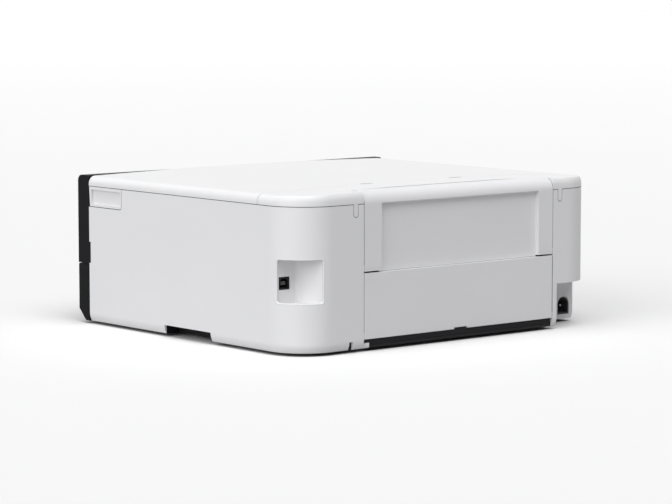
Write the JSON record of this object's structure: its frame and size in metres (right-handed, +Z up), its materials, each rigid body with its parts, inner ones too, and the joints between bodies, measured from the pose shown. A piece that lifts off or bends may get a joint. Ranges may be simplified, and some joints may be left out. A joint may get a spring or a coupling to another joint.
{
  "type": "inkjet printer",
  "caption": "Compact flatbed all-in-one inkjet printer with lid, scanner, tilting front panel, paper cassette, rear feed cover and print mechanism.",
  "frame": {"origin": "centre of the bounding box footprint, on the table under the rubber feet", "axes": "+Z up, the black front faces -Y, the rear doors face +Y"},
  "size_m": [0.365, 0.328, 0.142],
  "materials": {
    "cover_white": "fine matte texture",
    "lid_white": "satin",
    "black_front": "satin",
    "black_inner": "matte",
    "dark_inner": "matte",
    "rubber": "matte",
    "foam": "soft",
    "glass": "clear",
    "steel": "ground",
    "sheet_steel": "galvanised",
    "motor_can": "plated",
    "brass": "turned",
    "gear_white": "smooth",
    "roller": "fine",
    "belt": "matte",
    "strip": "clear film",
    "board": "solder mask",
    "screen": "gloss",
    "keys": "satin",
    "pad": "felt",
    "ink_cyan": "satin",
    "ink_magenta": "satin",
    "ink_yellow": "satin",
    "ink_black": "satin"
  },
  "bodies": {
    "base": {"base": "black_inner", "rubber_feet": "rubber", "right_cover": "cover_white", "left_cover": "cover_white", "rear_top_cover": "lid_white", "front_frame": "dark_inner", "main_frame": "sheet_steel", "carriage_rail": "steel", "carriage_belt": "belt", "carriage_motor": "motor_can", "encoder_strip": "strip", "platen": "black_inner", "feed_motor": "motor_can", "maintenance_unit": "dark_inner", "cap_pad": "rubber", "waste_pad": "pad", "paper_guide": "dark_inner", "logic_board": "board", "power_supply": "motor_can", "usb_socket": "black_inner", "power_inlet": "black_inner"},
    "scanner": {"scanner_frame": "cover_white", "scanner_bottom": "dark_inner", "scanner_glass": "glass", "scan_rod": "steel", "hinge_pins": "steel"},
    "scan_bar": {"scan_carriage": "black_inner"},
    "lid": {"document_lid": "lid_white", "lid_pad": "foam"},
    "feed_door": {"feed_cover": "cover_white"},
    "feed_guide_l": {"feed_guide_left": "cover_white"},
    "feed_guide_r": {"feed_guide_right": "cover_white"},
    "duct_door": {"duct_cover": "cover_white"},
    "panel": {"control_panel": "black_front", "panel_board": "board", "display": "screen"},
    "power_key": {"power_button": "keys"},
    "home_key": {"home_button": "keys"},
    "ok_key": {"ok_button": "keys"},
    "stop_key": {"stop_button": "keys"},
    "cassette": {"cassette_front": "black_front", "cassette_tray": "dark_inner"},
    "cassette_guide_l": {"cassette_guide_left": "dark_inner"},
    "cassette_guide_r": {"cassette_guide_right": "dark_inner"},
    "lift": {"lift_plate": "sheet_steel"},
    "tray": {"output_tray": "dark_inner"},
    "carriage": {"carriage": "black_inner", "print_head": "steel", "ink_cyan": "ink_cyan", "ink_magenta": "ink_magenta", "ink_yellow": "ink_yellow", "ink_black": "ink_black"},
    "motor_pulley": {"motor_pulley": "gear_white"},
    "idler_pulley": {"idler_pulley": "gear_white"},
    "feed_roller": {"feed_roller": "roller"},
    "exit_roller": {"exit_roller": "roller"},
    "idler_gear": {"idler_gear": "gear_white"},
    "motor_gear": {"motor_gear": "brass"},
    "pinch": {"pinch_rollers": "roller"},
    "pickup": {"pickup_roller": "roller"}
  },
  "joints": [
    {"name": "scanner_hinge", "type": "hinge", "parent": "base", "child": "scanner", "pos_m": [0, 0.1057, 0.1395], "axis": [-1, 0, 0], "range_deg": [0, 25]},
    {"name": "lid_hinge", "type": "hinge", "parent": "scanner", "child": "lid", "pos_m": [0, 0.1057, 0.1395], "axis": [-1, 0, 0], "range_deg": [0, 75]},
    {"name": "scan_bar_slide", "type": "slide", "parent": "scanner", "child": "scan_bar", "axis": [1, 0, 0], "range_m": [0, 0.262]},
    {"name": "feed_cover_hinge", "type": "hinge", "parent": "base", "child": "feed_door", "pos_m": [-0.008, 0.1614, 0.0732], "axis": [-1, 0, 0], "range_deg": [0, 50]},
    {"name": "feed_guide_r_slide", "type": "slide", "parent": "feed_door", "child": "feed_guide_r", "axis": [-1, 0, 0], "range_m": [0, 0.05]},
    {"name": "feed_guide_l_slide", "type": "slide", "parent": "feed_door", "child": "feed_guide_l", "axis": [1, 0, 0], "range_m": [0, 0.05]},
    {"name": "duct_cover_slide", "type": "slide", "parent": "base", "child": "duct_door", "axis": [0, 1, 0], "range_m": [0, 0.06]},
    {"name": "panel_hinge", "type": "hinge", "parent": "base", "child": "panel", "pos_m": [0, -0.1503, 0.1365], "axis": [-1, 0, 0], "range_deg": [0, 45]},
    {"name": "tray_slide", "type": "slide", "parent": "base", "child": "tray", "axis": [0, -1, 0], "range_m": [0, 0.055]},
    {"name": "power_press", "type": "slide", "parent": "panel", "child": "power_key", "axis": [0, 1, 0], "range_m": [0, 0.001], "stiffness_N_per_m": 400, "springref_m": -0.0003},
    {"name": "home_press", "type": "slide", "parent": "panel", "child": "home_key", "axis": [0, 1, 0], "range_m": [0, 0.001], "stiffness_N_per_m": 400, "springref_m": -0.0003},
    {"name": "ok_press", "type": "slide", "parent": "panel", "child": "ok_key", "axis": [0, 1, 0], "range_m": [0, 0.001], "stiffness_N_per_m": 400, "springref_m": -0.0003},
    {"name": "stop_press", "type": "slide", "parent": "panel", "child": "stop_key", "axis": [0, 1, 0], "range_m": [0, 0.001], "stiffness_N_per_m": 400, "springref_m": -0.0003},
    {"name": "cassette_slide", "type": "slide", "parent": "base", "child": "cassette", "axis": [0, -1, 0], "range_m": [0, 0.2]},
    {"name": "cassette_guide_r_slide", "type": "slide", "parent": "cassette", "child": "cassette_guide_r", "axis": [-1, 0, 0], "range_m": [0, 0.05]},
    {"name": "cassette_guide_l_slide", "type": "slide", "parent": "cassette", "child": "cassette_guide_l", "axis": [1, 0, 0], "range_m": [0, 0.05]},
    {"name": "lift_hinge", "type": "hinge", "parent": "cassette", "child": "lift", "pos_m": [0, 0.048, 0.0124], "axis": [1, 0, 0], "range_deg": [0, 12]},
    {"name": "carriage_slide", "type": "slide", "parent": "base", "child": "carriage", "axis": [-1, 0, 0], "range_m": [0, 0.22]},
    {"name": "motor_pulley_spin", "type": "hinge", "parent": "base", "child": "motor_pulley", "pos_m": [-0.138, 0.057, 0.0775], "axis": [0, -1, 0], "continuous": true},
    {"name": "idler_pulley_spin", "type": "hinge", "parent": "base", "child": "idler_pulley", "pos_m": [0.138, 0.057, 0.0775], "axis": [0, -1, 0], "continuous": true},
    {"name": "feed_roller_spin", "type": "hinge", "parent": "base", "child": "feed_roller", "pos_m": [0, 0.072, 0.062], "axis": [1, 0, 0], "continuous": true},
    {"name": "exit_roller_spin", "type": "hinge", "parent": "base", "child": "exit_roller", "pos_m": [0, 0, 0.062], "axis": [1, 0, 0], "continuous": true},
    {"name": "idler_gear_spin", "type": "hinge", "parent": "base", "child": "idler_gear", "pos_m": [-0.155, 0.036, 0.062], "axis": [1, 0, 0], "continuous": true},
    {"name": "motor_gear_spin", "type": "hinge", "parent": "base", "child": "motor_gear", "pos_m": [-0.155, 0.09, 0.04055], "axis": [1, 0, 0], "continuous": true},
    {"name": "pickup_roller_spin", "type": "hinge", "parent": "base", "child": "pickup", "pos_m": [0, 0.10732, 0.05055], "axis": [1, 0, 0], "continuous": true},
    {"name": "pinch_rollers_spin", "type": "hinge", "parent": "base", "child": "pinch", "pos_m": [0, 0.073, 0.0713], "axis": [1, 0, 0], "continuous": true}
  ],
  "couplings": [
    {"joint": "feed_guide_l_slide", "follows": "feed_guide_r_slide", "ratio": 1},
    {"joint": "cassette_guide_l_slide", "follows": "cassette_guide_r_slide", "ratio": 1},
    {"joint": "tray_slide", "follows": "panel_hinge", "m_per_rad": 0.07},
    {"joint": "motor_pulley_spin", "follows": "carriage_slide", "rad_per_m": 166.67},
    {"joint": "idler_pulley_spin", "follows": "carriage_slide", "rad_per_m": 166.67},
    {"joint": "exit_roller_spin", "follows": "feed_roller_spin", "ratio": 1},
    {"joint": "idler_gear_spin", "follows": "feed_roller_spin", "ratio": -1.25},
    {"joint": "motor_gear_spin", "follows": "feed_roller_spin", "ratio": -2.5},
    {"joint": "pickup_roller_spin", "follows": "feed_roller_spin", "ratio": 1.6667},
    {"joint": "pinch_rollers_spin", "follows": "feed_roller_spin", "ratio": -1.5714}
  ]
}
